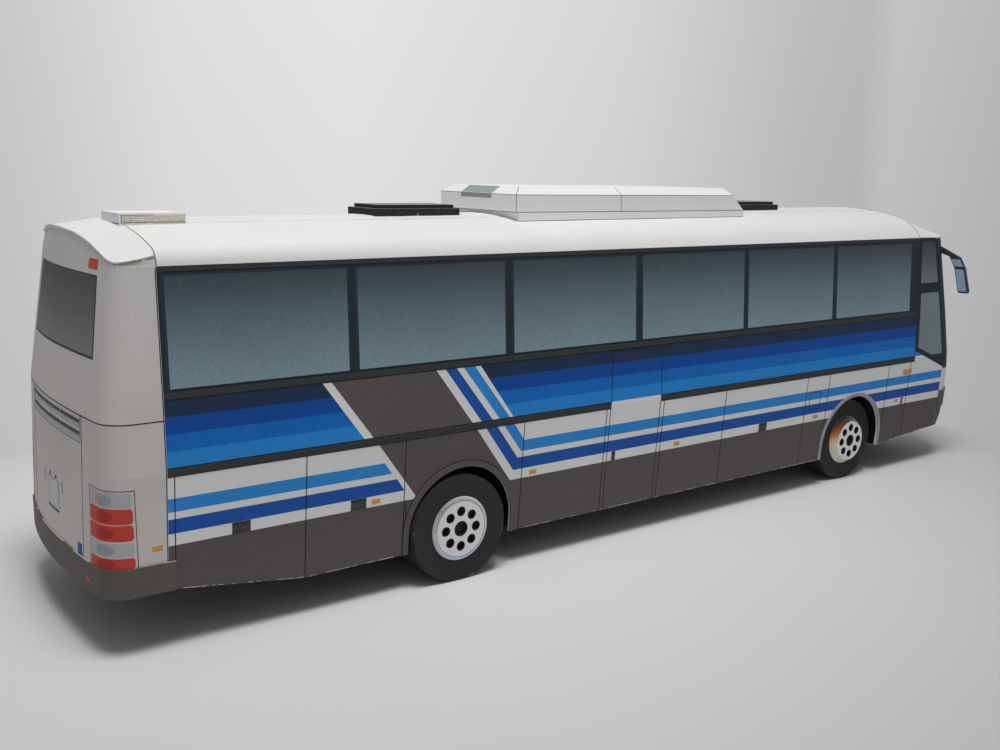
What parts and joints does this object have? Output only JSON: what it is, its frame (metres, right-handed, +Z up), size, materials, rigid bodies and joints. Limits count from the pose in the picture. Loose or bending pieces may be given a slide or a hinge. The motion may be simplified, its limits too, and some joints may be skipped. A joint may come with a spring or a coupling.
{
  "type": "card model coach bus",
  "caption": "Small card model of a long-distance coach with printed windows and stripes, a roof unit and hatches, and axles that turn freely.",
  "frame": {"origin": "on the surface it stands on, under the middle of its overall box", "axes": "+X forward along the coach, +Y to its left, +Z up"},
  "size_m": [0.2366, 0.062, 0.0733],
  "materials": {
    "axle_rod": "plain round wooden stick",
    "floor_card": "dark grey card, matt",
    "hatch_card": "black card, matt",
    "mirror_card": "dark printed card",
    "printed_card": "white card with printed windows and stripes",
    "rolled_paper": "plain rolled paper",
    "skirt_card": "brown-grey printed card",
    "tyre_card": "black printed card, matt",
    "unit_card": "white card, matt",
    "well_card": "black card, matt",
    "wheel_card": "white and silver printed card",
    "white_card": "white card, matt"
  },
  "bodies": {
    "coach": {"arch_lip_front_left": "skirt_card", "arch_lip_front_right": "skirt_card", "arch_lip_rear_left": "skirt_card", "arch_lip_rear_right": "skirt_card", "axle_tube_front": "rolled_paper", "axle_tube_rear": "rolled_paper", "floor_panel": "floor_card", "front_bumper": "skirt_card", "hatch_front_base": "hatch_card", "hatch_front_lid": "hatch_card", "hatch_rear_base": "hatch_card", "hatch_rear_lid": "hatch_card", "mirror_arm_left": "mirror_card", "mirror_arm_right": "mirror_card", "mirror_head_left": "mirror_card", "mirror_head_right": "mirror_card", "nose_panel": "white_card", "rear_bumper": "skirt_card", "rear_panel_lower": "white_card", "rear_panel_upper": "white_card", "roof_cap_front": "white_card", "roof_cap_rear": "white_card", "roof_panel": "white_card", "roof_unit_base": "unit_card", "roof_unit_housing": "unit_card", "side_panel_left": "printed_card", "side_panel_right": "printed_card", "vent_cover": "white_card", "vent_plies": "white_card", "wheel_well_front_left": "well_card", "wheel_well_front_right": "well_card", "wheel_well_rear_left": "well_card", "wheel_well_rear_right": "well_card", "windscreen_panel": "printed_card"},
    "front_wheels": {"axle_front": "axle_rod", "tyre_front_left": "tyre_card", "tyre_front_right": "tyre_card", "wheel_disc_front_left": "wheel_card", "wheel_disc_front_right": "wheel_card"},
    "rear_wheels": {"axle_rear": "axle_rod", "tyre_rear_left": "tyre_card", "tyre_rear_right": "tyre_card", "wheel_disc_rear_left": "wheel_card", "wheel_disc_rear_right": "wheel_card"}
  },
  "joints": [
    {"name": "front_axle_roll", "type": "hinge", "parent": "coach", "child": "front_wheels", "pos_m": [0.06995, 0, 0.0103], "axis": [0, 1, 0], "continuous": true},
    {"name": "rear_axle_roll", "type": "hinge", "parent": "coach", "child": "rear_wheels", "pos_m": [-0.05205, 0, 0.0103], "axis": [0, 1, 0], "continuous": true}
  ]
}
